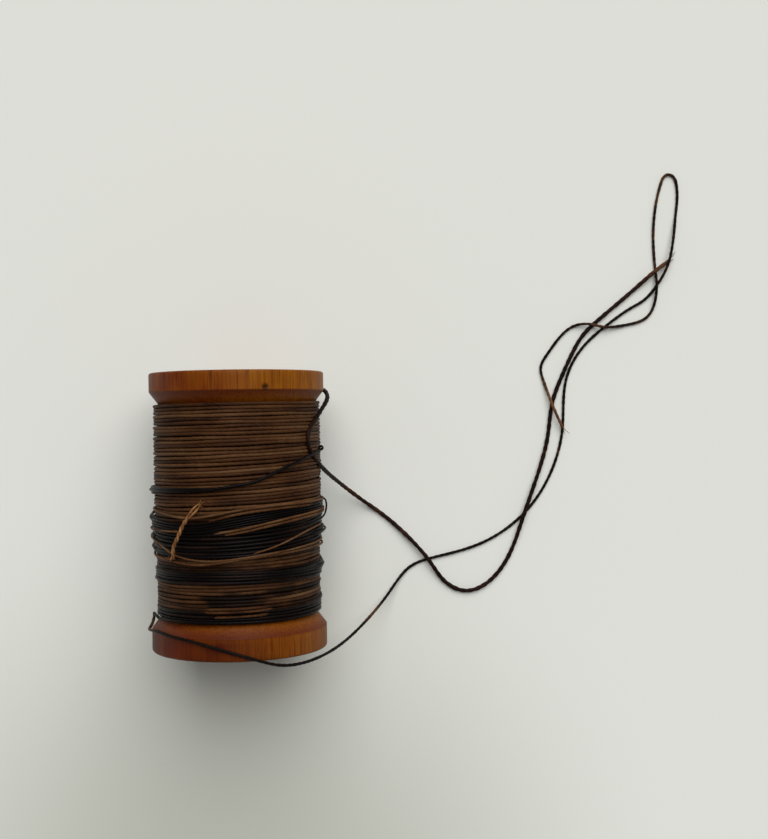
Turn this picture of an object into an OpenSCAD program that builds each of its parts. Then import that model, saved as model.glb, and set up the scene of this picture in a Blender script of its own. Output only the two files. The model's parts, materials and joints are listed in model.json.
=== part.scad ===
// Turned wooden spool lying on its side, wound with waxed thread, with two free thread tails.
// The spool's axis runs along Y, its heads rest on the plane Z = 0, and sizes are in millimetres.

/* [Spool] */
// Length of the spool from end face to end face
spool_l = 50.8; // [47:0.1:56]
// Diameter of both heads
head_d = 32.2; // [28:0.1:38]
// Width of the straight rim of the upper head
upper_rim = 3.5; // [2:0.1:5]
// Width of the straight rim of the lower head
lower_rim = 4; // [2:0.1:5]
// Angle between the heads' bevels and the axis, in degrees
bevel_angle = 37; // [32:1:44]
// Diameter of the barrel between the heads
barrel_d = 16; // [12:0.5:20]
// Diameter of the through bore
bore_d = 8; // [6:0.1:9]
// Chamfer at both mouths of the bore
mouth_chamfer = 0.6; // [0.2:0.1:1]
// Radius of the heads' outer edges
edge_round = 0.4; // [0.2:0.05:0.8]

/* [Brown thread] */
// Depth of the outer layer of the winding below the heads' rims
winding_depth = 1; // [0.9:0.05:2.1]
// Loops drawn in the outer layer, each for two or three close turns of the thread
loops = 23; // [12:1:24]
// Width of one drawn loop
loop_d = 1.2; // [0.7:0.05:1.25]
// Diameter of the thread where it runs free, as the upper tail
brown_d = 0.85; // [0.6:0.05:1]

/* [Dark thread] */
// Diameter of the dark thread
dark_d = 0.6; // [0.4:0.05:0.7]
// Turns of the dark thread in the group near the middle of the winding
middle_wraps = 4; // [2:1:4]
// Turns of the dark thread in the group beside the lower head
lower_wraps = 1.667; // [0.667:1:1.667]
// Distance along the axis from one dark turn to the next
wrap_pitch = 1.25; // [1.15:0.05:1.4]

/* [Tan thread] */
// Diameter of the short loose thread end
tan_d = 0.8; // [0.5:0.05:0.9]

/* [Hidden] */

$fn = 96;
// Clearance between pieces that lie against each other
seat_gap = 0.02;
// Turn of the round pieces about the axis, in degrees: half a side of a 64-sided mesh, so that
// such a mesh rests on the middle of a side and not on an edge
SEAM_TURN = 180 / 64;
// Steps in the arc of a head's rounded edge
EDGE_STEPS = 6;
// Rings in one loop of a wound strand, and sides of its ring
LOOP_RINGS = 24;
LOOP_SIDES = 6;
// Sides of the ring of a free cord
CORD_SIDES = 8;

half_l = spool_l / 2;
head_r = head_d / 2;
axis_z = head_r;
winding_r = head_r - winding_depth;
// Radius of the outer layer's centreline, and of the plain core that clears its chords
wind_r = winding_r - loop_d / 2;
chord = cos(180 / LOOP_RINGS);
core_r = (wind_r - loop_d / 2) * chord - seat_gap;
// Radius of the centreline of the dark strands, which lie on the outer layer
over_r = winding_r / chord + dark_d / 2 + seat_gap;
// Radius of the tan end's centreline where it lies on the dark strands
tan_r = over_r + dark_d / 2 + tan_d / 2 + seat_gap;
// Places of the outermost loops, where the strand touches a bevel
upper_y = bevel_y(wind_r, upper_rim, loop_d / 2 + seat_gap);
lower_y = -bevel_y(wind_r, lower_rim, loop_d / 2 + seat_gap);
middle_y = (upper_y + lower_y) / 2;
half_wound = (upper_y - lower_y) / 2;

// Angles run from the top of the spool, 0, to its right side, 90, and on under it
BROWN_EXIT = 100;
DARK_EXIT = -60;
// Turns in which the dark thread crosses from one group to the other
CROSSING_TURNS = 1;
// The middle group of dark turns starts this far below the middle of the winding
WRAPS_START = 2.6;
// The lower group's last turn lies this far past the outer layer's last loop
WRAPS_PAST = 0.5;
wrap_turns = middle_wraps + CROSSING_TURNS + lower_wraps;

// Height of the free tails over their routes' points, so that the heads carry the spool and not the tails
TAIL_LIFT = 0.1;
// Cross strand: angle, place above the middle of the winding as a share of half its length, and
// height over the dark strands' level in its own diameters
CROSS_STEPS = [[-104, 0.2, 0], [-90, 0.205, 0], [-75, 0.21, 0], [-60, 0.21, 0], [-45, 0.215, 0],
    [-30, 0.215, 0], [-18, 0.22, 0], [-7, 0.245, 0], [5, 0.27, 0], [18, 0.335, 0], [32, 0.4, 0],
    [44, 0.47, 0], [57, 0.53, 0], [70, 0.57, 0], [80, 0.58, 0.7], [88, 0.615, 1], [94, 0.67, 0.5],
    [102, 0.68, 0], [112, 0.665, 0]];
// Tan end: angle, place above or below the middle as a share of half the winding's length
TAN_STEPS = [[-40, -0.425], [-38.5, -0.34], [-34.5, -0.23], [-31, -0.135], [-26.5, -0.045],
    [-23.5, 0.02]];
// The tan end's inner tip goes down to the outer layer here
TAN_TIP = [-18, 0.1];

// Free points of the brown thread's tail: under the upper head's rim, up over the winding's
// shoulder, down to the table and along it, over and under the dark tail
UPPER_ROUTE = [
    [13.9, 18.8, 8.7], [13.5, 19.3, 7.5], [13.5, 20.5, 6.9], [14.3, 21.9, 7.4],
    [14.9, 22.2, 8.2], [15.9, 22.1, 10.6], [16.8, 20.6, 14.6], [16.1, 18.8, 18],
    [15.1, 17, 20.6], [14, 15.1, 22.8], [13.5, 13, 23.9], [13.9, 11, 23.2],
    [14.9, 9, 20.2], [16.2, 6.9, 14.8], [17.8, 5, 9.4], [20, 2.8, 4.4],
    [23.5, -0.1, 1.1], [28, -3.5, 0.45], [35.5, -11.3, 1.1], [38.6, -15.7, 0.5],
    [42.9, -17.9, 0.45], [48, -15.8, 0.45], [52, -10.3, 0.45], [54.8, -2.6, 1.1],
    [59.5, 11.3, 0.45], [60.6, 18.6, 0.45], [63, 25, 0.45], [66.2, 31.3, 0.45],
    [69.2, 34.6, 0.45], [77.5, 41.5, 0.45], [81.6, 45, 1.1], [84.2, 46.8, 0.45]];

// Free points of the dark thread's tail: a bend beside the lower head, over its rim, down to the
// table, along it to a narrow bight, and back to a tip that lies on the tail itself
LOWER_ROUTE = [
    [-15.5, -18.6, 18.6], [-15.7, -19, 17.3], [-15.9, -20, 16.8], [-16.2, -21, 17.3],
    [-16.4, -21.4, 18.6], [-15.7, -21.3, 21.1], [-13.9, -20.9, 24.8], [-11, -21.2, 28.4],
    [-7.7, -21.6, 30.7], [-4, -22.4, 32.1], [0, -23.5, 32.6], [4.5, -25, 32],
    [9, -26.4, 30], [14.5, -26.4, 23.9], [19.5, -24.9, 14.6], [24, -21.8, 6.2],
    [27.8, -17.8, 1.8], [31.3, -13.5, 0.3], [35.4, -11.5, 0.3], [45.5, -8.8, 0.3],
    [54.9, -2.6, 0.3], [60.2, 5.2, 0.3], [62.7, 14, 0.3], [63.4, 23, 0.3],
    [66.6, 29.6, 0.3], [71.1, 33.8, 0.3], [76.5, 37.6, 0.3], [79.3, 39.2, 0.3],
    [81.8, 42, 0.3], [84.1, 46.7, 1.5], [85.8, 56, 0.3], [86.2, 60, 0.3],
    [86, 62.5, 0.3], [85.6, 63.6, 0.3], [84.5, 64.2, 0.3], [83.5, 63.7, 0.3],
    [83.1, 62.7, 0.3], [82.3, 60, 0.3], [81.3, 52.4, 0.3], [81.6, 45, 0.3],
    [81.7, 42.2, 1], [80.4, 36.4, 0.3], [76, 34.4, 0.3], [71.1, 33.9, 0.95],
    [69.1, 34.4, 1.25], [64.8, 34.1, 0.3], [60, 28.9, 0.3], [58.5, 26.2, 0.3],
    [59.1, 23.4, 0.3], [60.6, 18.8, 1.2], [62.7, 14, 0.95]];

// Distance along the axis from the middle of the spool to a bevel at radius r, less a clearance
function bevel_y(r, rim, clear = 0) =
    half_l - rim - (head_r - r) / tan(bevel_angle) - clear / sin(bevel_angle);

// Point at an angle round the axis
function on_drum(angle, r, y) = [r * sin(angle), y, axis_z + r * cos(angle)];

function unit(v) = v / norm(v);

// Direction of a path at each of its points
function directions(path) = let (last = len(path) - 1)
    [for (i = [0:last]) unit(
        (i == 0 ? [0, 0, 0] : unit(path[i] - path[i - 1]))
        + (i == last ? [0, 0, 0] : unit(path[i + 1] - path[i])))];

// Part of a vector that is square to a direction, at unit length
function squared(v, direction) = unit(v - (v * direction) * direction);

// Side vectors carried along a free path, so that its tube doesn't twist
function carried(dirs, side, i = 0) = i == len(dirs) ? []
    : let (s = squared(side, dirs[i])) concat([s], carried(dirs, s, i + 1));

// Side vectors of a strand on the drum, which point away from the axis
function outward(path, dirs) = [for (i = [0:len(path) - 1])
    squared([path[i][0], 0, path[i][2] - axis_z], dirs[i])];

// Points of the rings of a tube, ring by ring
function ring_points(path, dirs, sides, d, n) = [for (i = [0:len(path) - 1]) for (k = [0:n - 1])
    path[i] + d / 2 * (cos(360 * k / n) * sides[i] + sin(360 * k / n) * cross(dirs[i], sides[i]))];

// Triangles of a closed tube with the given count of rings and sides
function tube_faces(rings, n) = let (last = (rings - 1) * n) concat(
    [for (i = [0:rings - 2]) for (k = [0:n - 1]) let (a = i * n + k, b = i * n + (k + 1) % n)
        [a, b + n, b]],
    [for (i = [0:rings - 2]) for (k = [0:n - 1]) let (a = i * n + k, b = i * n + (k + 1) % n)
        [a, a + n, b + n]],
    [for (k = [1:n - 2]) [0, k, k + 1]],
    [for (k = [1:n - 2]) [last, last + k + 1, last + k]]);

// A path with a straight run of one diameter added at each end
function with_ends(path, d) = let (last = len(path) - 1) concat(
    [path[0] + d * unit(path[0] - path[1])], path, [path[last] + d * unit(path[last] - path[last - 1])]);

// Centreline of the outer layer, which rises along the axis as its angle grows
main_path = with_ends([for (i = [0:loops * LOOP_RINGS])
    on_drum(BROWN_EXIT + 360 * i / LOOP_RINGS, wind_r,
        lower_y + (upper_y - lower_y) * i / (loops * LOOP_RINGS))], loop_d);

// Place along the axis of the dark thread after some turns from its inner end
function wrap_y(turn) = lookup(turn, [
    [0, middle_y - WRAPS_START],
    [middle_wraps, middle_y - WRAPS_START - middle_wraps * wrap_pitch],
    [middle_wraps + CROSSING_TURNS, lower_y - WRAPS_PAST + lower_wraps * wrap_pitch],
    [wrap_turns, lower_y - WRAPS_PAST]]);

wrap_path = with_ends([for (i = [0:round(wrap_turns * LOOP_RINGS)])
    let (turn = min(i / LOOP_RINGS, wrap_turns))
    on_drum(DARK_EXIT + 360 * (wrap_turns - turn), over_r, wrap_y(turn))], dark_d);

// Start of a free tail at the end of a wound strand, with the direction that it leaves in
function exit_point(path) = path[len(path) - 1];
function exit_direction(path) = unit(exit_point(path) - path[len(path) - 2]);

// Path of a free tail: a straight run of one diameter out of the wound strand, then its route
function tail_path(wound, d, route) = concat(
    [exit_point(wound), exit_point(wound) + d * exit_direction(wound)],
    [for (p = route) p + [0, 0, TAIL_LIFT]]);
upper_path = tail_path(main_path, brown_d, UPPER_ROUTE);
lower_path = tail_path(wrap_path, dark_d, LOWER_ROUTE);

cross_path = [for (s = CROSS_STEPS)
    on_drum(s[0], over_r + s[2] * dark_d, middle_y + s[1] * half_wound)];
tan_path = concat([for (s = TAN_STEPS) on_drum(s[0], tan_r, middle_y + s[1] * half_wound)],
    [on_drum(TAN_TIP[0], (winding_r + tan_d / 2) / chord + seat_gap, middle_y + TAN_TIP[1] * half_wound)]);

// Least distance between the surface points of a wound strand's neighbouring loops
function least_gap(path, d) = let (dirs = directions(path),
    points = ring_points(path, dirs, outward(path, dirs), d, LOOP_SIDES),
    step = LOOP_RINGS * LOOP_SIDES)
    min([for (i = [0:len(points) - step - 2 * LOOP_SIDES - 1]) for (j = [-2 * LOOP_SIDES:2 * LOOP_SIDES])
        norm(points[i + step + j] - points[i])]);

// A wound strand, as one closed tube
module wound_strand(path, d) {
    dirs = directions(path);
    polyhedron(ring_points(path, dirs, outward(path, dirs), d, LOOP_SIDES),
        tube_faces(len(path), LOOP_SIDES));
}

// A free cord, as one closed tube
module free_cord(path, d) {
    dirs = directions(path);
    polyhedron(ring_points(path, dirs, carried(dirs, [0, 1, 0]), d, CORD_SIDES),
        tube_faces(len(path), CORD_SIDES));
}

// A profile of radius and place along the axis, turned round the spool's axis
module turned(profile) {
    translate([0, 0, axis_z]) rotate([-90, SEAM_TURN, 0]) rotate_extrude() polygon(profile);
}

// Profile of a head's rounded outer edge, from the end face to the rim
function edge_arc(end) = [for (i = [0:EDGE_STEPS]) let (angle = 90 * i / EDGE_STEPS)
    [head_r - edge_round * (1 - sin(angle)), end * (half_l - edge_round * (1 - cos(angle)))]];

function reversed(list) = [for (i = [len(list) - 1:-1:0]) list[i]];

// One-piece turned wooden spool with its through bore
module spool_body() color("#b5701f") turned(concat(
    [[bore_d / 2, -half_l + mouth_chamfer], [bore_d / 2 + mouth_chamfer, -half_l]],
    edge_arc(-1),
    [[head_r, -half_l + lower_rim], [barrel_d / 2, -bevel_y(barrel_d / 2, lower_rim)],
        [barrel_d / 2, bevel_y(barrel_d / 2, upper_rim)], [head_r, half_l - upper_rim]],
    reversed(edge_arc(1)),
    [[bore_d / 2 + mouth_chamfer, half_l], [bore_d / 2, half_l - mouth_chamfer]]));

// Packed inner layers of thread, plain under the outer layer
module thread_core() color("#54361f") turned([
    [barrel_d / 2 + seat_gap, -bevel_y(barrel_d / 2 + seat_gap, lower_rim, seat_gap)],
    [core_r, -bevel_y(core_r, lower_rim, seat_gap)],
    [core_r, bevel_y(core_r, upper_rim, seat_gap)],
    [barrel_d / 2 + seat_gap, bevel_y(barrel_d / 2 + seat_gap, upper_rim, seat_gap)]]);

// Outer layer of the brown thread
module main_winding() color("#6b4426") wound_strand(main_path, loop_d);

// Later turns of the dark thread
module dark_wraps() color("#241811") wound_strand(wrap_path, dark_d);

// Strand that crosses the winding at a slope and bends out in a small loop at the right
module cross_strand() color("#2c1c14") wound_strand(cross_path, dark_d);

// Free end of the brown thread
module upper_tail() color("#33190f") free_cord(upper_path, brown_d);

// Free end of the dark thread
module lower_tail() color("#1e1712") free_cord(lower_path, dark_d);

// Short thread end that lies over the dark turns
module tan_end() color("#a9713f") free_cord(tan_path, tan_d);

echo(loop_gap = least_gap(main_path, loop_d), wrap_gap = least_gap(wrap_path, dark_d));
spool_body();
thread_core();
main_winding();
dark_wraps();
cross_strand();
upper_tail();
lower_tail();
tan_end();
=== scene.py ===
"""Dressed model of an old turned wooden spool, wound with waxed thread, on a pale table.

Lengths are in millimetres and angles in degrees. The spool lies on its side: Y runs along its bore
towards the upper head, Z up from the table, and X towards the two free tails. An angle round the
spool starts at its top, 0, and runs over its right side, 90, and on under it. Meshes are in metres.
"""

import json
import logging
import math
from dataclasses import dataclass, field
from enum import Enum
from typing import Any, Callable, Sequence

import bmesh
import bpy
import numpy as np
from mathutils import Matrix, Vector, noise


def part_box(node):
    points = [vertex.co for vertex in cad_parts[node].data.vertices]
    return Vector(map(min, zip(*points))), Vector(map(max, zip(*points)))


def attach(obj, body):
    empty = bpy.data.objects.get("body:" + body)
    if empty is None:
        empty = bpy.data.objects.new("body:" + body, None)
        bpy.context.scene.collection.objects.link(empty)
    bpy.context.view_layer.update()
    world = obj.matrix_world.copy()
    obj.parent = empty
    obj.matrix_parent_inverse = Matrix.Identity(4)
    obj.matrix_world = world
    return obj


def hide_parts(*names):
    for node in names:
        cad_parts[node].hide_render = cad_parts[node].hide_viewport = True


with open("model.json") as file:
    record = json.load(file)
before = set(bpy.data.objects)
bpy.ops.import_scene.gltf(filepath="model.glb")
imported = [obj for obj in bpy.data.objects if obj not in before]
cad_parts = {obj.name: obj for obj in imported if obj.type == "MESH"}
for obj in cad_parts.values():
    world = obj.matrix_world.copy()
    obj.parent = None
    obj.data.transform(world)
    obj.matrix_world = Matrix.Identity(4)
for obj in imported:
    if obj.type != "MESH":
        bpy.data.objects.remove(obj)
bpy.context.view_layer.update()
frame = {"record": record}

LOG = logging.getLogger("spool")
MM = 0.001
FULL_TURN = 360.0
BODY = "root"

Array = np.ndarray
Tree = bpy.types.NodeTree
Socket = bpy.types.NodeSocket


class Thread(Enum):
    """The three threads on the spool, by the record's slot for each."""

    BROWN = "brown_thread"
    DARK = "dark_thread"
    TAN = "tan_thread"


def colour(code: str) -> tuple[float, float, float, float]:
    """Turns an sRGB hex value such as "#77440a" into a linear colour.

    Args:
        code: The hex value, with its leading mark.

    Returns:
        Red, green, blue and an alpha of 1.
    """
    parts = [int(code[i : i + 2], 16) / 255 for i in (1, 3, 5)]
    linear = [p / 12.92 if p <= 0.04045 else ((p + 0.055) / 1.055) ** 2.4 for p in parts]
    return (*linear, 1.0)


def add_node(
    tree: Tree, kind: str, inputs: dict[Any, Any] | None = None, **settings: Any
) -> bpy.types.Node:
    """Adds one shader node.

    Args:
        tree: The node tree of the material or world.
        kind: The node's type name in Blender.
        inputs: A value, or another node's output to link, for each input name or number.
        settings: The node's own properties.

    Returns:
        The new node.
    """
    node = tree.nodes.new(kind)
    for name, value in settings.items():
        setattr(node, name, value)
    for key, value in (inputs or {}).items():
        if isinstance(value, Socket):
            tree.links.new(value, node.inputs[key])
        else:
            node.inputs[key].default_value = value
    return node


def new_material(name: str) -> tuple[bpy.types.Material, Tree]:
    """Makes an empty node material and returns it with its tree."""
    material = bpy.data.materials.new(name)
    material.use_nodes = True
    material.node_tree.nodes.clear()
    return material, material.node_tree


def maths(tree: Tree, operation: str, *values: Any, clamp: bool = False) -> Socket:
    """Adds a sum of one to three values, and returns its result."""
    inputs = dict(enumerate(values))
    return add_node(tree, "ShaderNodeMath", inputs, operation=operation, use_clamp=clamp).outputs[0]


def vectors(tree: Tree, operation: str, inputs: dict[Any, Any], result: str = "Value") -> Socket:
    """Adds a sum of vectors, and returns the result that is named."""
    return add_node(tree, "ShaderNodeVectorMath", inputs, operation=operation).outputs[result]


def stretched(
    tree: Tree, place: Socket, scale: tuple[float, ...], shift: tuple[float, ...] = (0, 0, 0)
) -> Socket:
    """Adds a scaled and then shifted copy of a place."""
    inputs = {"Vector": place, "Location": shift, "Scale": scale}
    return add_node(tree, "ShaderNodeMapping", inputs).outputs[0]


def remap(
    tree: Tree,
    value: Socket,
    old: tuple[float, float] = (0.0, 1.0),
    new: tuple[Any, Any] = (0.0, 1.0),
    curve: str = "LINEAR",
) -> Socket:
    """Adds a change of range, held within the new range.

    Args:
        tree: The node tree.
        value: The value to change.
        old: Two of its values.
        new: What they become.
        curve: Way from one to the other.

    Returns:
        The new value.
    """
    ends = {"Value": value, "From Min": old[0], "From Max": old[1], "To Min": new[0], "To Max": new[1]}
    return add_node(tree, "ShaderNodeMapRange", ends, interpolation_type=curve).outputs["Result"]


def blend(tree: Tree, share: Any, first: Any, second: str) -> Socket:
    """Adds a mix of two colours, the first a hex value or another node's output."""
    first = colour(first) if isinstance(first, str) else first
    inputs = {"Fac": share, "Color1": first, "Color2": colour(second)}
    return add_node(tree, "ShaderNodeMixRGB", inputs).outputs[0]


def cloud(
    tree: Tree, space: Socket, scale: float, detail: float, rough: float = 0.5
) -> Socket:
    """Adds a noise pattern, and returns its value."""
    inputs = {"Vector": space, "Scale": scale, "Detail": detail, "Roughness": rough}
    return add_node(tree, "ShaderNodeTexNoise", inputs).outputs["Fac"]


def finish_with(tree: Tree, inputs: dict[str, Any]) -> None:
    """Adds the surface shader and joins it to the material's output."""
    shader = add_node(tree, "ShaderNodeBsdfPrincipled", inputs)
    add_node(tree, "ShaderNodeOutputMaterial", {"Surface": shader.outputs[0]})


def wander(along: Array, lengths: Sequence[float], seed: int) -> Array:
    """Smooth irregularity along a line, the same on each run.

    Args:
        along: Places along the line.
        lengths: Wavelengths to mix, in the same unit.
        seed: Picks the phases.

    Returns:
        Values about zero, mostly between -1 and 1.
    """
    phases = np.random.default_rng(seed).uniform(0, 2 * math.pi, len(lengths))
    waves = [np.sin(2 * math.pi * along / w + p) for w, p in zip(lengths, phases)]
    return np.sum(waves, axis=0) / math.sqrt(len(lengths))


def between(value: Array, low: float, high: float) -> Array:
    """Smooth step from 0 at low to 1 at high."""
    share = np.clip((value - low) / (high - low), 0, 1)
    return share * share * (3 - 2 * share)


def unit(vectors: Array) -> Array:
    """Vectors of a list at unit length."""
    return vectors / np.linalg.norm(vectors, axis=1, keepdims=True)


def run_length(path: Array) -> Array:
    """Distance along a path at each of its points."""
    return np.r_[0, np.cumsum(np.linalg.norm(np.diff(path, axis=0), axis=1))]


def smooth_line(points: Array, step: float, exponent: float = 0.5) -> Array:
    """Natural cubic spline through given points, with its samples evenly spaced.

    Args:
        points: The points, in any number of dimensions.
        step: Distance between samples, in the points' unit.
        exponent: 0.5 keeps the curve close to its points where they are unevenly spaced.

    Returns:
        The samples, in order.
    """
    spans = np.linalg.norm(np.diff(points, axis=0), axis=1) ** exponent
    count = len(points)
    system, right = np.eye(count), np.zeros_like(points)
    for i in range(1, count - 1):
        system[i, i - 1 : i + 2] = spans[i - 1], 2 * (spans[i - 1] + spans[i]), spans[i]
        right[i] = 6 * (
            (points[i + 1] - points[i]) / spans[i] - (points[i] - points[i - 1]) / spans[i - 1]
        )
    bend = np.linalg.solve(system, right)
    samples = []
    for i, span in enumerate(spans):
        pieces = max(4, math.ceil(np.linalg.norm(points[i + 1] - points[i]) / (0.4 * step)))
        done = np.linspace(0, span, pieces, endpoint=False)[:, None]
        left = span - done
        samples.append(
            (bend[i] * left**3 + bend[i + 1] * done**3) / (6 * span)
            + (points[i] / span - bend[i] * span / 6) * left
            + (points[i + 1] / span - bend[i + 1] * span / 6) * done
        )
    line = np.vstack([*samples, points[-1:]])
    along = run_length(line)
    places = np.linspace(0, along[-1], max(3, round(along[-1] / step) + 1))
    return np.stack([np.interp(places, along, line[:, k]) for k in range(line.shape[1])], 1)


def relaxed(path: Array, rounds: int) -> Array:
    """A path with its sharpest bends eased, as a springy thread eases them."""
    path = path.copy()
    for _ in range(rounds):
        path[1:-1] = 0.5 * path[1:-1] + 0.25 * (path[:-2] + path[2:])
    return path


@dataclass(frozen=True)
class Drum:
    """Form of the turned spool that the threads lie on."""

    axis_z: float
    half_length: float
    bore_radius: float
    upper_rim: float = 3.5
    lower_rim: float = 4.0
    bevel_angle: float = 37.0
    barrel_radius: float = 8.0

    # Radius of the winding's outer layer at places along the axis
    SURFACE = ((-18.6, 14.8), (-16.5, 15.0), (-9, 15.05), (-3, 15.15), (2, 15.38), (12, 15.42),
               (19.8, 15.35))

    @classmethod
    def from_frame(cls) -> "Drum":
        """Takes the spool's axis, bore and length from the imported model."""
        bore = next(m for m in frame["record"]["mounts"] if m["name"] == "bore")
        low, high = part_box("spool_body")
        return cls(
            axis_z=bore["pos_m"][2] / MM,
            half_length=(high[1] - low[1]) / 2 / MM,
            bore_radius=bore["dims"]["r_mm"],
        )

    @property
    def head_radius(self) -> float:
        """Radius of both heads, which rest on the table."""
        return self.axis_z

    def bevel_place(self, radius: float, rim: float) -> float:
        """Distance along the axis from the middle to a head's bevel.

        Args:
            radius: Distance from the axis.
            rim: Width of that head's rim.

        Returns:
            The distance, the same sign for both heads.
        """
        slope = math.radians(self.bevel_angle)
        return self.half_length - rim - (self.head_radius - radius) / math.tan(slope)

    def surface(self, place: Array) -> Array:
        """Radius of the winding's outer layer at places along the axis."""
        return np.interp(place, *zip(*self.SURFACE))

    def points(self, angle: Array, radius: Array, place: Array) -> Array:
        """Points at angles round the axis, distances from it and places along it."""
        turn = np.radians(angle)
        angle, radius, place = np.broadcast_arrays(angle, radius, place)
        return np.stack([radius * np.sin(turn), place, self.axis_z + radius * np.cos(turn)], 1)

    def outward(self, path: Array) -> Array:
        """Directions away from the axis at the points of a path."""
        away = path - [0, 0, self.axis_z]
        away[:, 1] = 0
        return unit(away)


@dataclass(frozen=True)
class Yarn:
    """How a thread is made up."""

    diameter: float
    plies: int = 2
    ply_depth: float = 0.16
    twist: float = 2.6
    sides: int = 10
    ring_step: float = 0.3
    slub: float = 0.05

    def thinner(self, diameter: float) -> "Yarn":
        """The same make in another thickness."""
        return Yarn(diameter, self.plies, self.ply_depth, self.twist, self.sides, self.ring_step)


@dataclass
class Tube:
    """Mesh of one thread, before it becomes part of a piece."""

    corners: Array
    quads: Array
    fans: Array
    uv: Array
    tone: Array
    soot_and_shade: Array


def carried_sides(heading: Array, first: Array) -> Array:
    """Side vectors carried along a free path, so that its tube doesn't twist."""
    sides, side = [], first
    for direction in heading:
        side = side - side.dot(direction) * direction
        side = side / np.linalg.norm(side)
        sides.append(side)
    return np.array(sides)


def spun(
    path: Array,
    yarn: Yarn,
    outward: Array | None = None,
    seed: int = 1,
    tone: Array | float = 0.5,
    soot_and_shade: Array | float = 0.0,
    taper: float = 0.0,
) -> Tube:
    """Sweeps a twisted thread along a path.

    Args:
        path: Centreline, evenly spaced.
        yarn: Make of the thread.
        outward: Side vectors along the path, or None for a free thread.
        seed: Picks the thread's irregularities.
        tone: 0 for the dark end of the thread's colours, 1 for the light end.
        soot_and_shade: Share of old dark wax and dirt, and of painted shade.
        taper: Length over which both tips get thin.

    Returns:
        The closed tube, with its UV in millimetres along and turns round.
    """
    heading = unit(np.gradient(path, axis=0))
    if outward is None:
        side = carried_sides(heading, np.array([0.3, 0.9, 0.3]))
    else:
        side = unit(outward - (outward * heading).sum(1, keepdims=True) * heading)
    up = np.cross(heading, side)
    along = run_length(path)
    thick = 1 + yarn.slub * wander(along, (2.9, 4.7, 7.1, 13.0), seed)
    if taper:
        thick = thick * (0.25 + 0.75 * between(np.minimum(along, along[-1] - along), -0.1, taper))
    ring = np.arange(yarn.sides) * 2 * math.pi / yarn.sides
    twist = 2 * math.pi * along / yarn.twist
    lobes = 0.5 - 0.5 * np.cos(yarn.plies * (ring[None, :] - twist[:, None]))
    reach = yarn.diameter / 2 * thick[:, None] * (1 - yarn.ply_depth * lobes)
    corners = (
        path[:, None]
        + (reach * np.cos(ring))[..., None] * side[:, None]
        + (reach * np.sin(ring))[..., None] * up[:, None]
    )
    rings, n = len(path), yarn.sides
    dome = 0.2 * yarn.diameter
    caps = np.array([path[0] - dome * heading[0], path[-1] + dome * heading[-1]])
    first = np.arange(rings - 1)[:, None] * n
    here, following = np.arange(n)[None, :], (np.arange(n)[None, :] + 1) % n
    quads = np.stack([first + here, first + following, first + following + n, first + here + n], 2)
    tip, last = rings * n, (rings - 1) * n
    first_fan = [[tip, (k + 1) % n, k] for k in range(n)]
    last_fan = [[tip + 1, last + k, last + (k + 1) % n] for k in range(n)]
    fans = np.array(first_fan + last_fan)
    low, high = along[:-1, None] + 0 * here, along[1:, None] + 0 * here
    left, right = here / n + 0 * low, (here + 1) / n + 0 * low
    round_quad = ((low, left), (low, right), (high, right), (high, left))
    uv = np.stack([np.stack(corner, 2) for corner in round_quad], 2)
    ends = np.zeros((len(fans), 3, 2))
    ends[n:, :, 0] = along[-1]
    return Tube(
        corners=np.vstack([corners.reshape(-1, 3), caps]),
        quads=quads.reshape(-1, 4),
        fans=fans,
        uv=np.vstack([uv.reshape(-1, 2), ends.reshape(-1, 2)]),
        tone=spread(tone, rings, n),
        soot_and_shade=spread(soot_and_shade, rings, n),
    )


def spread(value: Array | float, rings: int, sides: int) -> Array:
    """One value for each corner of a tube, from one for each ring or one for all."""
    each = np.broadcast_to(np.asarray(value, float), (rings,))
    return np.r_[np.repeat(each, sides), each[0], each[-1]]


def piece_from_tubes(name: str, tubes: Sequence[Tube]) -> bpy.types.Object:
    """Joins tubes into one mesh object at the origin.

    Args:
        name: Name of the piece.
        tubes: Its threads.

    Returns:
        The object, with a UV map and the attributes tone and soot_and_shade, which holds dark wax, dirt and
        painted shade.
    """
    offsets = np.cumsum([0] + [len(t.corners) for t in tubes])
    faces: list[list[int]] = []
    for tube, offset in zip(tubes, offsets):
        faces += (tube.quads + offset).tolist() + (tube.fans + offset).tolist()
    mesh = bpy.data.meshes.new(name)
    mesh.from_pydata(np.vstack([t.corners for t in tubes]) * MM, [], faces)
    layer = mesh.uv_layers.new(name="thread")
    layer.data.foreach_set("uv", np.vstack([t.uv for t in tubes]).ravel())
    for title in ("tone", "soot_and_shade"):
        attribute = mesh.attributes.new(title, "FLOAT", "POINT")
        attribute.data.foreach_set("value", np.concatenate([getattr(t, title) for t in tubes]))
    mesh.polygons.foreach_set("use_smooth", np.ones(len(faces), bool))
    piece = bpy.data.objects.new(name, mesh)
    bpy.context.scene.collection.objects.link(piece)
    return piece


def settle(piece: bpy.types.Object, material: bpy.types.Material, nodes: Sequence[str]) -> None:
    """Dresses a finished piece and ties it to the frame.

    Args:
        piece: The finished piece.
        material: Its finish.
        nodes: CAD nodes that it stands for.
    """
    piece.data.materials.clear()
    piece.data.materials.append(material)
    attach(piece, BODY)
    if nodes:
        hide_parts(*nodes)
    LOG.info("%s: %d faces", piece.name, len(piece.data.polygons))


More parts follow.
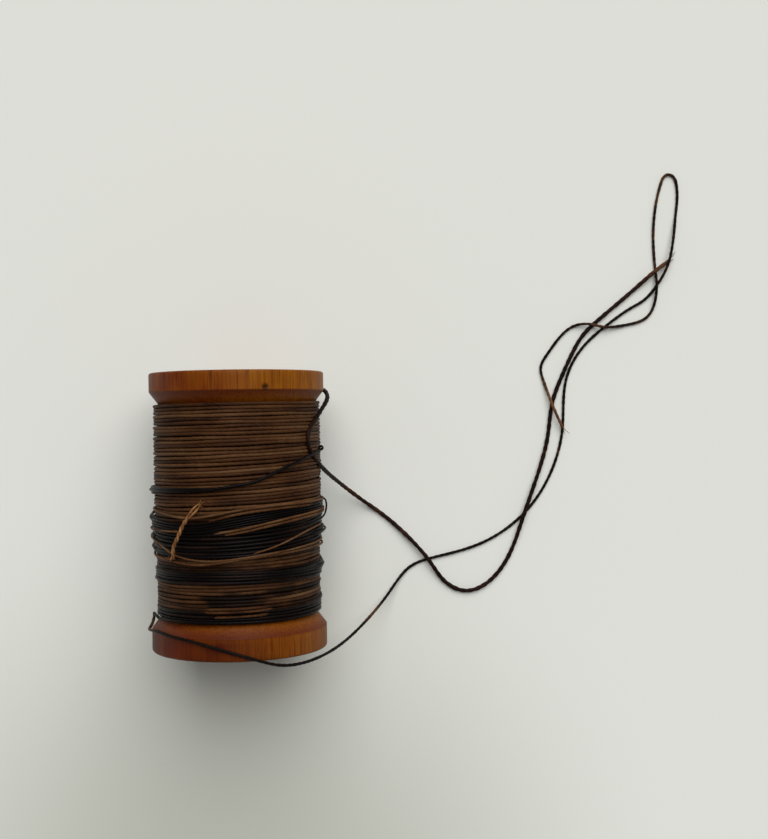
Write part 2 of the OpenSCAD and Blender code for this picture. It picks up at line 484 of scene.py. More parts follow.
@dataclass(frozen=True)
class WaxedLinen:
    """Waxed linen thread: plied bast fibre pulled through wax, which lies dark in the twist, with shade
    painted into the grooves between its fibres.

    It gives the eye a slightly glossy strand with fine slanting lines of painted shade, uneven in colour
    along its length, and nearly black where wax and dirt have gathered and where shade is painted on.
    """

    name: str
    dark: str
    middle: str
    light: str
    # Colour of soot and dark wax, and of the painted shade in the winding's dark patches and packed layer
    soot_and_shade: str = "#070403"
    roughness: float = 0.5
    gloss: float = 0.07
    fibre_width: float = 0.09
    fibre_length: float = 2.2
    stain_size: float = 6.0
    stain: float = 0.9
    speck_scale: float = 0.13
    speck: float = 0.5
    # Colour scale of the painted shade in the fibre grooves and the painted light on their ridges
    groove_shading: tuple[float, float] = (0.5, 1.15)
    relief: float = 0.35
    relief_depth: float = 0.05
    ior: float = 1.45

    def material(self, yarn: Yarn) -> bpy.types.Material:
        """Builds the finish for one make of thread.

        Args:
            yarn: The thread, whose twist the fibres follow.

        Returns:
            The material.
        """
        material, tree = new_material(self.name)
        uv = add_node(tree, "ShaderNodeUVMap", uv_map="thread").outputs["UV"]
        place = add_node(tree, "ShaderNodeTexCoord").outputs["Object"]
        tone = add_node(tree, "ShaderNodeAttribute", attribute_name="tone").outputs["Fac"]
        # The soot attribute holds dark wax and dirt, and painted shade on the winding's dark patches and
        # packed layer
        soot_and_shade = add_node(tree, "ShaderNodeAttribute", attribute_name="soot_and_shade").outputs["Fac"]
        # The fibres run with the plies: one turn round for each twist length along
        parts = add_node(tree, "ShaderNodeSeparateXYZ", {0: uv}).outputs
        turns = maths(tree, "MULTIPLY", parts["X"], 1 / yarn.twist)
        slant = maths(tree, "SUBTRACT", parts["Y"], turns)
        across = maths(tree, "MULTIPLY", slant, math.pi * yarn.diameter / self.fibre_width)
        run = maths(tree, "MULTIPLY", parts["X"], 1 / self.fibre_length)
        lined = add_node(tree, "ShaderNodeCombineXYZ", {0: across, 1: run}).outputs[0]
        fibres = cloud(tree, lined, 1.0, 2.0, 0.6)
        stain = cloud(tree, place, 1 / (self.stain_size * MM), 3.0)
        speck = cloud(tree, lined, self.speck_scale, 2.0)
        tone = maths(tree, "ADD", maths(tree, "MULTIPLY_ADD", stain, self.stain, -self.stain / 2), tone)
        tone = maths(tree, "ADD", tone, maths(tree, "MULTIPLY_ADD", speck, self.speck, -self.speck / 2))
        shade = blend(tree, remap(tree, tone, (0.0, 0.5)), self.dark, self.middle)
        shade = blend(tree, remap(tree, tone, (0.5, 1.0)), shade, self.light)
        # Painted shade in the grooves between fibres and painted light on their ridges, following the bump's
        # height
        groove_shading = remap(tree, fibres, (0.25, 0.6), self.groove_shading)
        shade = vectors(tree, "SCALE", {0: shade, "Scale": groove_shading}, "Vector")
        # Mixes in nearly black wax, dirt and painted shade
        shade = blend(tree, soot_and_shade, shade, self.soot_and_shade)
        height = {"Height": fibres, "Strength": self.relief, "Distance": self.relief_depth * MM}
        finish_with(tree, {
            "Base Color": shade,
            "Roughness": remap(tree, fibres, new=(self.roughness + 0.12, self.roughness - 0.12)),
            "Normal": add_node(tree, "ShaderNodeBump", height).outputs[0],
            "Specular IOR Level": self.gloss,
            "IOR": self.ior,
        })
        return material


@dataclass(frozen=True)
class VarnishedBirch:
    """Turned birch under old amber varnish.

    It gives the eye straight fine grain along the spool, rings on the end faces, and a warm glossy
    brown, redder on one side and more golden on the other, with painted shade on bevels, lower head and pit.
    """

    name: str = "varnished_birch"
    golden: str = "#895002"
    amber: str = "#793f02"
    ruddy: str = "#6c2b01"
    streak: str = "#3a1001"
    # Colour of the painted shade on the bevels
    bevel: str = "#5c2502"
    # Colour of the lower head: redder wood with painted shade
    low_head_shade: str = "#450f02"
    # Colour of the painted shade in the pit
    pit: str = "#140602"
    grain_width: float = 0.3
    grain_length: float = 11.0
    pore_width: float = 0.12
    cloud_size: float = 7.0
    side_reach: float = 13.0
    ring_width: float = 1.6
    pith_x: float = -6.0
    pith_z: float = 24.0
    pit_reach: tuple[float, float] = (0.2, 0.9)
    relief: float = 0.35
    relief_depth: float = 0.12
    roughness: float = 0.42
    gloss: float = 0.1
    coat: float = 0.02
    coat_roughness: float = 0.3
    ior: float = 1.5

    def material(self, drum: Drum, pit: Vector) -> bpy.types.Material:
        """Builds the finish.

        Args:
            drum: The spool's form, whose bevels get painted shade.
            pit: Place of the small pit in the upper rim.

        Returns:
            The material.
        """
        material, tree = new_material(self.name)
        place = add_node(tree, "ShaderNodeTexCoord").outputs["Object"]
        axes = add_node(tree, "ShaderNodeSeparateXYZ", {0: place}).outputs
        stretch = self.grain_width / self.grain_length
        along_grain = stretched(tree, place, (1, stretch, 1))
        grain = cloud(tree, along_grain, 1 / (self.grain_width * MM), 3.0, 0.65)
        pores = cloud(tree, along_grain, 1 / (self.pore_width * MM), 1.0)
        clouds = cloud(tree, place, 1 / (self.cloud_size * MM), 2.0)
        shade = self._varnish(tree, place, axes, clouds)
        shade = self._shaded_bevels(tree, shade, place, axes, drum)
        shade = self._low_head(tree, shade, axes, clouds)
        shade = blend(tree, remap(tree, grain, (0.5, 0.3), (0.0, 0.8)), shade, self.streak)
        shade = blend(tree, remap(tree, pores, (0.42, 0.3), (0.0, 0.5)), shade, self.streak)
        # Painted shade in and round the pit
        hole = vectors(tree, "DISTANCE", {0: place, 1: pit})
        near, far = self.pit_reach
        shade = blend(tree, remap(tree, hole, (near * MM, far * MM), (1.0, 0.0)), shade, self.pit)
        height = {"Height": grain, "Strength": self.relief, "Distance": self.relief_depth * MM}
        finish_with(tree, {
            "Base Color": shade,
            "Roughness": remap(tree, clouds, new=(self.roughness - 0.08, self.roughness + 0.2)),
            "Normal": add_node(tree, "ShaderNodeBump", height).outputs[0],
            "Specular IOR Level": self.gloss,
            "Coat Weight": self.coat,
            "Coat Roughness": self.coat_roughness,
            "IOR": self.ior,
        })
        return material

    def _varnish(
        self, tree: Tree, place: Socket, axes: Any, clouds: Socket
    ) -> Socket:
        """Golden on one side and ruddy on the other, with the wood's growth rings."""
        side = remap(tree, axes["X"], (-self.side_reach * MM, self.side_reach * MM))
        warm = maths(tree, "ADD", side, maths(tree, "MULTIPLY_ADD", clouds, 1.5, -0.75), clamp=True)
        shade = blend(tree, warm, self.ruddy, self.golden)
        centred = stretched(tree, place, (1, 0.02, 1), (-self.pith_x * MM, 0, -self.pith_z * MM))
        rings = add_node(
            tree,
            "ShaderNodeTexWave",
            {"Vector": centred, "Scale": 1 / (self.ring_width * MM) / 3.2, "Distortion": 3.0, "Detail": 2.0,
             "Detail Scale": 0.7},
            wave_type="RINGS",
            rings_direction="Y",
        ).outputs["Fac"]
        return blend(tree, remap(tree, rings, (0.35, 0.8), (0.0, 0.55)), shade, self.amber)

    def _shaded_bevels(
        self,
        tree: Tree,
        shade: Socket,
        place: Socket,
        axes: Any,
        drum: Drum,
    ) -> Socket:
        """Painted shade on the bevels, darkest beside the rims."""
        rim = drum.head_radius * MM
        away = self._distance_from_axis(tree, place, drum)
        # Painted shade on the bevels, strongest beside the rims
        slope = remap(tree, away, (rim - 1.2 * MM, rim - 0.2 * MM), (0.35, 0.95))
        inner = maths(tree, "MULTIPLY", self._between_heads(tree, axes["Y"], drum), slope)
        return blend(tree, inner, shade, self.bevel)

    def _low_head(
        self, tree: Tree, shade: Socket, axes: Any, clouds: Socket
    ) -> Socket:
        """The lower head is redder and carries painted shade, least so at its right side."""
        low = remap(tree, axes["Y"], (-19.5 * MM, -22.5 * MM))
        left = remap(tree, axes["X"], (13 * MM, -1 * MM), (0.35, 0.85), "SMOOTHSTEP")
        # Painted shade with redder wood, most on the left of the lower head
        redder_and_shaded = maths(tree, "MULTIPLY", maths(tree, "MULTIPLY", low, left), clouds)
        return blend(tree, maths(tree, "MULTIPLY", redder_and_shaded, 1.75), shade, self.low_head_shade)

    def _distance_from_axis(
        self, tree: Tree, place: Socket, drum: Drum
    ) -> Socket:
        """Distance from the spool's axis, in metres."""
        flat = stretched(tree, place, (1, 0, 1), (0, 0, -drum.axis_z * MM))
        return vectors(tree, "LENGTH", {0: flat})

    def _between_heads(
        self, tree: Tree, along: Socket, drum: Drum
    ) -> Socket:
        """1 on the bevels and between the heads, and 0 on the rims and end faces."""
        middle = (drum.lower_rim - drum.upper_rim) / 2
        reach = drum.half_length - (drum.lower_rim + drum.upper_rim) / 2
        away = maths(tree, "ABSOLUTE", maths(tree, "SUBTRACT", along, middle * MM))
        return remap(tree, away, ((reach - 0.1) * MM, (reach + 0.25) * MM), (1.0, 0.0))


@dataclass
class TurnedSpool:
    """The one-piece turned wooden spool, with worn edges and a pit in its upper rim."""

    drum: Drum
    finish: VarnishedBirch = field(default_factory=VarnishedBirch)
    sides: int = 320
    rim_step: float = 0.35
    bevel_step: float = 0.6
    end_rings: int = 8
    edge_round: float = 0.4
    mouth_chamfer: float = 0.6
    wear: float = 0.05
    pit_angle: float = 24.6
    pit_place: float = 22.3
    pit_width: float = 0.34
    pit_depth: float = 0.45

    def build(self) -> bpy.types.Object:
        """Models the spool from a cylinder and ties it to the frame."""
        piece = self._blank()
        self._bore(piece)
        self._turn_down(piece)
        self._ease_edges(piece)
        self._wear(piece)
        bpy.ops.object.shade_smooth_by_angle(angle=math.radians(28))
        spot = self.drum.points(np.array([self.pit_angle]), self.drum.head_radius, self.pit_place)[0]
        settle(piece, self.finish.material(self.drum, Vector(spot * MM)), ["spool_body"])
        return piece

    def _blank(self) -> bpy.types.Object:
        """A cylinder along Y, as long and as wide as the spool."""
        bpy.ops.object.select_all(action="DESELECT")
        bpy.ops.mesh.primitive_cylinder_add(
            vertices=self.sides,
            radius=self.drum.head_radius * MM,
            depth=2 * self.drum.half_length * MM,
            end_fill_type="NGON",
            location=(0, 0, self.drum.axis_z * MM),
            rotation=(math.pi / 2, 0, 0),
        )
        piece = bpy.context.object
        piece.name = piece.data.name = "turned_spool"
        bpy.ops.object.transform_apply(location=True, rotation=True, scale=True)
        return piece

    def _bore(self, piece: bpy.types.Object) -> None:
        """Sets rings into both end faces and opens the bore between them."""
        bpy.ops.object.mode_set(mode="EDIT")
        bpy.ops.mesh.select_mode(type="FACE")
        bpy.ops.mesh.select_all(action="DESELECT")
        self._pick(piece, faces=lambda f: abs(f.normal.y) > 0.9)
        width = (self.drum.head_radius - self.drum.bore_radius) / self.end_rings
        for _ in range(self.end_rings):
            bpy.ops.mesh.inset(thickness=width * MM, depth=0, use_even_offset=True)
        bpy.ops.mesh.delete(type="ONLY_FACE")
        bpy.ops.mesh.select_mode(type="EDGE")
        bpy.ops.mesh.select_all(action="DESELECT")
        self._pick(piece, edges=lambda e: e.is_boundary)
        bpy.ops.mesh.bridge_edge_loops()
        bpy.ops.object.mode_set(mode="OBJECT")

    def _turn_down(self, piece: bpy.types.Object) -> None:
        """Cuts the rims, bevels and barrel between the heads."""
        drum = self.drum
        cuts = []
        for sign, rim in ((1, drum.upper_rim), (-1, drum.lower_rim)):
            foot = drum.bevel_place(drum.barrel_radius, rim)
            start = drum.half_length - rim
            cuts += [sign * (start + i * self.rim_step) for i in range(int((rim - 1) / self.rim_step) + 1)]
            steps = round((start - foot) / self.bevel_step)
            cuts += [sign * (start + (foot - start) * i / steps) for i in range(1, steps + 1)]
        bpy.ops.object.mode_set(mode="EDIT")
        for cut in cuts:
            bpy.ops.mesh.select_all(action="SELECT")
            bpy.ops.mesh.bisect(plane_co=(0, cut * MM, 0), plane_no=(0, 1, 0))
        bpy.ops.mesh.select_all(action="DESELECT")
        bpy.ops.object.mode_set(mode="OBJECT")
        wall = drum.bore_radius * 1.5
        for vertex in piece.data.vertices:
            away = Vector((vertex.co.x, vertex.co.z - drum.axis_z * MM)) / MM
            place = vertex.co.y / MM
            rim = drum.upper_rim if place > 0 else drum.lower_rim
            depth = drum.half_length - rim - abs(place)
            if away.length > wall and depth > 0:
                radius = drum.head_radius - depth * math.tan(math.radians(drum.bevel_angle))
                scale = max(radius, drum.barrel_radius) / away.length
                vertex.co.x *= scale
                vertex.co.z = (drum.axis_z + away.y * scale) * MM

    def _ease_edges(self, piece: bpy.types.Object) -> None:
        """Rounds the heads' outer edges and chamfers the bore's mouths."""
        drum = self.drum
        edges = ((drum.head_radius, self.edge_round, 4), (drum.bore_radius, self.mouth_chamfer, 2))
        for radius, width, segments in edges:
            bpy.ops.object.mode_set(mode="EDIT")
            bpy.ops.mesh.select_mode(type="EDGE")
            bpy.ops.mesh.select_all(action="DESELECT")
            self._pick(piece, edges=lambda e: self._round_an_end(e, radius))
            bpy.ops.mesh.bevel(offset=width * MM, segments=segments, affect="EDGES")
            bpy.ops.object.mode_set(mode="OBJECT")

    def _round_an_end(self, edge: bmesh.types.BMEdge, radius: float) -> bool:
        """Whether an edge is part of the circle of a radius on an end face."""
        for vertex in edge.verts:
            away = math.hypot(vertex.co.x, vertex.co.z - self.drum.axis_z * MM) / MM
            if abs(away - radius) > 0.02 or abs(abs(vertex.co.y / MM) - self.drum.half_length) > 0.02:
                return False
        return True

    def _wear(self, piece: bpy.types.Object) -> None:
        """Moves the surface in by hundredths of a millimetre, and sinks the pit."""
        drum = self.drum
        centre = Vector((0, 0, drum.axis_z * MM))
        spot = Vector(drum.points(np.array([self.pit_angle]), drum.head_radius, self.pit_place)[0]) * MM
        for vertex in piece.data.vertices:
            away = vertex.co - centre
            away.y = 0
            if away.length < drum.bore_radius * 1.3 * MM:
                continue
            broad = noise.noise(vertex.co / (6 * MM))
            fine = noise.noise(Vector((vertex.co.x, vertex.co.y * 0.2, vertex.co.z)) / (1.1 * MM))
            near_end = max(0.0, 1 - (drum.half_length - abs(vertex.co.y) / MM) / 0.8)
            depth = self.wear * (0.5 * abs(broad) + 0.25 * abs(fine) + near_end * max(0.0, 1.6 * broad))
            hole = (vertex.co - spot).length / MM
            depth += self.pit_depth * math.exp(-((hole / self.pit_width) ** 2))
            vertex.co -= away.normalized() * depth * MM
        piece.data.update()

    @staticmethod
    def _pick(
        piece: bpy.types.Object,
        faces: Callable[[bmesh.types.BMFace], bool] | None = None,
        edges: Callable[[bmesh.types.BMEdge], bool] | None = None,
    ) -> None:
        """Selects the faces or edges of the piece in edit mode that pass a test."""
        shape = bmesh.from_edit_mesh(piece.data)
        for element in shape.faces if faces else shape.edges:
            if (faces or edges)(element):
                element.select = True
        shape.select_flush_mode()
        bmesh.update_edit_mesh(piece.data)


@dataclass
class Winding:
    """The brown thread as it is wound: packed inner layers, and the outer layer turn by turn."""

    drum: Drum
    yarn: Yarn = Yarn(diameter=0.66, sides=10, ring_step=0.3, ply_depth=0.12)
    finish: WaxedLinen = WaxedLinen("waxed_linen_brown", dark="#22110a", middle="#4a2d17", light="#63462c")
    turns: int = 60
    lowest: float = -18.4
    highest: float = 19.62
    exit_angle: float = 100.0
    pieces: int = 4
    inner_drop: float = 0.62

    # Lean of the turns: how far a turn rises from one side of the spool to the other, over two,
    # for places along the axis
    LEAN = ((-18.4, 0.35), (-15, 0.4), (-11, 0.05), (-8, 0.5), (-5, 0.8), (-2, 0.8), (3, 0.6),
            (8.5, 0.7), (12, 0.35), (15, 0.1), (19.6, 0.03))
    # Angle at which a leaning turn is lowest, for places along the axis
    LOW_SIDE = ((-18.4, -25), (-9, -30), (0, -50), (19.6, -60))
    # Dark patches of soot and painted shade: middle angle, middle place, half width in degrees, half length,
    # strength
    SOOT_AND_SHADE_PATCHES = ((-12, -4.6, 62, 2.5, 0.97), (20, -4.3, 400, 3.6, 0.6), (0, -10.5, 400, 1.2, 0.88),
              (2, -14.9, 24, 1.2, 0.92), (52, -13.6, 34, 0.75, 0.9), (64, -15.9, 28, 0.6, 0.8),
              (-50, -18.0, 44, 1.6, 0.85), (62, -17.8, 36, 1.3, 0.85), (8, -19.2, 400, 0.7, 0.85),
              (60, 0.3, 42, 1.1, 0.85))

    def build(self) -> list[bpy.types.Object]:
        """Builds the inner layers and the outer layer, and ties them to the frame."""
        material = self.finish.material(self.yarn)
        core = piece_from_tubes("packed_layers", [self._inner()])
        settle(core, material, ["thread_core"])
        built = [core]
        path, tone, soot_and_shade = self._outer()
        cuts = np.linspace(0, len(path) - 1, self.pieces + 1).astype(int)
        outward = self.drum.outward(path)
        for number, (start, end) in enumerate(zip(cuts[:-1], cuts[1:]), 1):
            part = slice(start, end + 1)
            tube = spun(path[part], self.yarn, outward[part], 40 + number, tone[part], soot_and_shade[part])
            piece = piece_from_tubes(f"outer_layer_{number}", [tube])
            settle(piece, material, ["main_winding"])
            built.append(piece)
        return built

    def _outer(self) -> tuple[Array, Array, Array]:
        """Centreline of the outer layer, with its tone, and its soot with painted shade."""
        drum = self.drum
        count = round(self.turns * 2 * math.pi * drum.head_radius / self.yarn.ring_step)
        turn = np.linspace(0, self.turns, count + 1)
        angle = self.exit_angle + FULL_TURN * turn
        place = self.lowest + (self.highest - self.lowest) * turn / self.turns
        lean = np.interp(place, *zip(*self.LEAN))
        low_side = np.interp(place, *zip(*self.LOW_SIDE))
        sway = 0.075 * wander(turn, (0.31, 0.57, 1.37, 2.73), 5) + 0.03 * wander(turn, (0.11, 0.19), 6)
        sway = sway * (1 - 0.85 * between(place, 18.0, 19.2))
        place = place - lean * np.cos(np.radians(angle - low_side)) + sway
        radius = drum.surface(place) - self.yarn.diameter / 2
        radius = radius + 0.06 * wander(turn, (0.23, 0.41, 0.77, 1.61), 7)
        path = drum.points(angle, radius, place)
        tone = 0.5 + 0.26 * wander(turn, (0.37, 0.83, 1.9, 3.7), 8)
        return path, tone, self.soot_and_shade_at(angle, place)

    def soot_and_shade_at(self, angle: Array, place: Array) -> Array:
        """Soot and painted shade of the dark patches at points of the winding."""
        around = (angle + 180) % FULL_TURN - 180
        # Darker all over by a little, and more towards the lower head
        total = 0.1 + 0.12 * between(-place, -1, 6)
        for middle, centre, half_width, half_length, strength in self.SOOT_AND_SHADE_PATCHES:
            ragged = 0.3 * wander(place * 5.1 + around / 19, (1.7, 3.1, 5.3), 9)
            across = np.abs((around - middle) / half_width + ragged)
            off = across**3 + np.abs((place - centre) / half_length + 0.6 * ragged) ** 3
            total = np.maximum(total, strength * (1 - between(off, 0.1, 2.1)))
        return total

    def _inner(self) -> Tube:
        """The layer under the outer one, as one strand that fills the gaps between its turns, painted nearly
        black as shade.
        """
        drum = self.drum
        yarn = self.yarn.thinner(0.8)
        turns = self.turns - 2
        angle = np.linspace(0, FULL_TURN * turns, turns * 64 + 1)
        place = np.linspace(self.lowest + 0.2, self.highest - 0.4, len(angle))
        radius = drum.surface(place) - self.inner_drop - yarn.diameter / 2
        path = drum.points(angle, radius, place)
        # Nearly black: painted shade in the gaps between the outer turns
        around = np.full(len(angle), 0.05)
        return spun(path, Yarn(0.86, sides=6, ply_depth=0.0), drum.outward(path), 30, around, 0.55)


@dataclass
class DarkTurns:
    """The dark thread's turns over the brown winding, as one strand that leaves as the tail."""

    drum: Drum
    yarn: Yarn = Yarn(diameter=0.6, sides=10, ring_step=0.3, ply_depth=0.14, twist=2.2)
    finish: WaxedLinen = WaxedLinen("waxed_linen_dark", dark="#050303", middle="#0d0706", light="#22150f",
                                    roughness=0.36, gloss=0.08)
    exit_angle: float = -63.0
    nested: float = 0.02

    # Turns before the exit, place along the axis, lean, height over the nested level
    COURSE = (
        (0, -18.75, 0.0, 0.7), (0.3, -18.5, 0.25, 0.1), (1, -18.1, 0.35, 0), (2, -17.5, 0.35, -0.05),
        (3, -16.9, 0.35, -0.1), (3.4, -16.6, 0.3, 0.1), (3.95, -11.9, 0.1, 0.1), (4.5, -11.6, 0.05, 0),
        (5.5, -11.0, 0.05, 0), (6.5, -10.4, 0.1, 0), (7.4, -9.9, 0.2, 0.1), (7.95, -6.1, 1.2, 0.1),
        (8.5, -5.8, 1.5, 0), (9.5, -5.15, 1.5, 0), (10.5, -4.45, 1.5, 0.05), (11.5, -3.8, 1.5, 0),
        (12.5, -3.1, 1.5, 0.05), (13.5, -2.4, 1.5, 0), (14.5, -1.75, 1.5, 0), (15.5, -1.1, 1.5, 0.1),
        (16.3, -0.6, 1.6, 0),
    )
    LOW_SIDE = -25.0

    def build(self) -> bpy.types.Object:
        """Builds the turns and ties them to the frame."""
        drum = self.drum
        course = np.array(self.COURSE)
        length = course[-1, 0] * 2 * math.pi * drum.head_radius
        back = np.linspace(course[-1, 0], 0, round(length / self.yarn.ring_step) + 1)
        place, lean, height = (np.interp(back, course[:, 0], course[:, k]) for k in (1, 2, 3))
        angle = self.exit_angle + FULL_TURN * back
        sway = 0.06 * wander(back, (0.27, 0.49, 1.31), 15)
        place = place - lean * np.cos(np.radians(angle - self.LOW_SIDE)) + sway
        level = drum.surface(place) + self.nested + height + 0.05 * wander(back, (0.21, 0.37, 0.9), 16)
        path = relaxed(drum.points(angle, level, place), 30)
        tone = 0.4 + 0.3 * wander(back, (0.17, 0.29, 0.71, 2.3), 17)
        tube = spun(path, self.yarn, drum.outward(path), 18, tone)
        piece = piece_from_tubes("dark_turns", [tube])
        settle(piece, self.finish.material(self.yarn), ["dark_wraps"])
        return piece


@dataclass(frozen=True)
class Laid:
    """A strand laid over the winding: its width, tone and listed points.

    Each point is an angle, a place along the axis, and a height of the strand's underside over the
    outer layer.
    """

    name: str
    diameter: float
    tone: float
    course: tuple[tuple[float, float, float], ...]

    def tube(self, drum: Drum, yarn: Yarn, seed: int) -> Tube:
        """Sweeps the strand.

        Args:
            drum: The spool's form.
            yarn: Make of the thread, at any thickness.
            seed: Picks the strand's irregularities.

        Returns:
            Its tube.
        """
        course = np.array(self.course)
        arc = np.radians(course[:, 0]) * drum.head_radius
        line = smooth_line(np.stack([arc, course[:, 1], course[:, 2]], 1), yarn.ring_step)
        radius = drum.surface(line[:, 1]) + line[:, 2] + self.diameter / 2
        path = drum.points(np.degrees(line[:, 0] / drum.head_radius), radius, line[:, 1])
        along = run_length(path)
        LOG.debug("%s: %.1f mm long", self.name, along[-1])
        tone = self.tone + 0.15 * wander(along, (5.0, 9.0, 17.0), seed)
        return spun(path, yarn.thinner(self.diameter), drum.outward(path), seed, tone, 0.0, 0.6)


@dataclass
class SlackStrands:
    """Loose strands over the winding: the crossing strand and the leaning ones near the middle."""

    drum: Drum
    brown: WaxedLinen
    dark: WaxedLinen
    yarn: Yarn = Yarn(diameter=0.5, sides=8, ring_step=0.25, ply_depth=0.14, twist=2.2)

    CROSSING = (
        Laid("crossing_strand", 0.56, 0.25, (
            (-118, 3.9, -0.5), (-104, 3.95, 0.2), (-92, 4.05, 0.5), (-80, 4.1, 0.25), (-60, 4.14, 0.05),
            (-30, 4.25, 0.02), (-12, 4.5, 0.05), (5, 5.2, 0.08), (18, 5.9, 0.06), (32, 7.45, 0.05),
            (44, 8.6, 0.05), (57, 9.75, 0.05), (68, 10.4, 0.1), (76, 10.75, 0.35))),
        Laid("crossing_twin", 0.5, 0.25, (
            (-116, 4.5, -0.5), (-104, 4.5, 0.1), (-92, 4.5, 0.3), (-80, 4.5, 0.1), (-60, 4.52, 0.02),
            (-30, 4.6, 0.0), (-18, 4.65, -0.05), (-8, 4.7, -0.3), (4, 4.75, -0.6))),
    )
    LEANING = (
        Laid("light_leaning", 0.5, 0.75, (
            (-84, 0.9, -0.4), (-62, 0.45, 0.15), (-38, -0.25, 0.3), (-24, -0.4, 0.35), (-12, 0.0, 0.4),
            (4, 0.8, 0.35), (26, 1.5, 0.3), (52, 1.75, 0.3), (81, 1.95, 0.25), (104, 2.1, -0.5))),
        Laid("light_leaning_low", 0.5, 0.6, (
            (-14, -1.1, -0.5), (0, -0.1, 0.15), (14, 0.55, 0.25), (34, 1.0, 0.2), (55, 1.2, 0.1),
            (84, 1.35, -0.4))),
        Laid("pair_upper", 0.48, 0.7, (
            (-12, -3.15, -0.5), (-2, -2.85, 0.1), (8, -2.4, 0.4), (26, -1.45, 0.5), (49, -0.5, 0.55),
            (79, 0.2, 0.5), (102, 0.5, -0.4))),
        Laid("pair_lower", 0.48, 0.6, (
            (-6, -3.5, -0.5), (4, -3.1, 0.1), (12, -2.75, 0.35), (26, -2.0, 0.5), (49, -1.05, 0.55),
            (79, -0.3, 0.5), (104, 0.0, -0.4))),
        Laid("thin_steep", 0.34, 0.75, (
            (14, -6.9, -0.3), (22, -6.3, 0.3), (30, -5.65, 0.55), (42, -4.54, 0.65), (55, -3.45, 0.6),
            (70, -2.75, 0.45), (84, -2.6, 0.1), (98, -2.7, -0.5))),
        Laid("low_leaning", 0.48, 0.65, (
            (-92, -7.0, -0.3), (-66, -7.64, 0.2), (-38, -8.32, 0.25), (-23, -8.6, 0.3), (-8, -8.3, 0.3),
            (4, -7.75, 0.35), (26, -7.14, 0.35), (51, -6.65, 0.35), (79, -6.25, 0.3), (104, -6.0, -0.4))),
        Laid("steep_left", 0.34, 0.8, (
            (-88, -3.6, -0.2), (-69, -4.6, 0.6), (-52, -5.65, 0.65), (-43, -6.6, 0.65), (-30, -7.5, 0.6),
            (-12, -7.9, 0.4), (8, -7.4, 0.6), (34, -6.6, 0.62), (60, -5.85, 0.6), (82, -5.4, 0.3),
            (100, -5.2, -0.4))),
        Laid("left_level", 0.4, 0.7, (
            (-96, -2.6, 0.1), (-78, -2.8, 0.6), (-60, -2.9, 0.62), (-42, -2.9, 0.4), (-26, -2.8, -0.5))),
        Laid("bottom_light", 0.45, 0.45, (
            (-20, -17.0, -0.6), (-9, -16.9, 0.15), (6, -16.8, 0.3), (18, -16.7, 0.2), (30, -16.6, -0.6))),
        Laid("bottom_light_low", 0.45, 0.4, (
            (-14, -17.8, -0.6), (-4, -17.7, 0.15), (8, -17.6, 0.3), (19, -17.5, 0.15), (29, -17.4, -0.6))),
    )
    WEDGE = tuple(
        Laid(f"wedge_{i}", 0.42, 0.15 + 0.15 * (i % 2), (
            (-112, -0.6 - 0.5 * i, -0.4), (-88, -1.0 - 0.5 * i, 0.3 - 0.05 * (i % 2)),
            (-60, -1.3 - 0.48 * i, 0.15), (-25, -1.6 - 0.46 * i, 0.02), (8, -0.45 - 0.42 * i, 0.02),
            (34, 0.45 - 0.42 * i, 0.0), (58, 1.05 - 0.45 * i, 0.05), (80, 1.4 - 0.5 * i, 0.1),
            (104, 1.5 - 0.5 * i, -0.3)))
        for i in range(4)
    )
    BIGHTS = (
        Laid("right_bight", 0.36, 0.4, (
            (60, 1.3, -0.2), (72, 1.9, 0.15), (80, 2.1, 0.4), (87, 1.6, 0.7), (91, 0.5, 0.85),
            (89, -0.6, 0.75), (83, -1.4, 0.45), (74, -1.9, 0.15), (60, -2.3, -0.1))),
    )
    # Degrees from a lump's middle, and share of its height
    LUMP_PROFILE = ((-26, 0.0), (-12, 0.8), (0, 1.0), (12, 0.8), (26, 0.0))
    # Lumps of dark strands at both sides: angle, place, height of the outer strand, lean
    LUMPS = ((86, -3.7, 0.7, 0.5), (88, -10.1, 0.35, 0.2), (-88, -0.7, 0.65, -1.2), (-88, -4.2, 0.6, -1.2),
             (-86, -6.1, 0.4, -0.8), (-89, 3.95, 0.3, 0.1))

    def build(self) -> list[bpy.types.Object]:
        """Builds the strands, by thread, and ties them to the frame."""
        dark = self.dark.material(self.yarn)
        brown = self.brown.material(self.yarn)
        crossing = [s.tube(self.drum, self.yarn, 60 + i) for i, s in enumerate(self.CROSSING)]
        crossing.append(self._eye())
        pieces = [piece_from_tubes("crossing_strand", crossing)]
        settle(pieces[0], dark, ["cross_strand"])
        groups = (
            ("slack_brown_strands", brown, Thread.BROWN, self.LEANING),
            ("slack_dark_strands", dark, Thread.DARK, self.WEDGE + self.BIGHTS + tuple(self._lumps())),
        )
        for name, material, thread, strands in groups:
            tubes = [s.tube(self.drum, self.yarn, 70 + i) for i, s in enumerate(strands)]
            piece = piece_from_tubes(name, tubes)
            settle(piece, material, [])
            pieces.append(piece)
        return pieces

    def _lumps(self) -> list[Laid]:
        """Three strands for each lump, the outer one in the middle."""
        strands = []
        for number, (angle, place, height, lean) in enumerate(self.LUMPS):
            for part, (aside, share) in enumerate(((0, 1.0), (0.42, 0.45), (-0.42, 0.4))):
                course = tuple(
                    (angle + step, place + aside + lean * step / 30, height * share * peak - (1 - peak) / 2)
                    for step, peak in self.LUMP_PROFILE
                )
                strands.append(Laid(f"lump_{number}_{part}", 0.46, 0.2, course))
        return strands

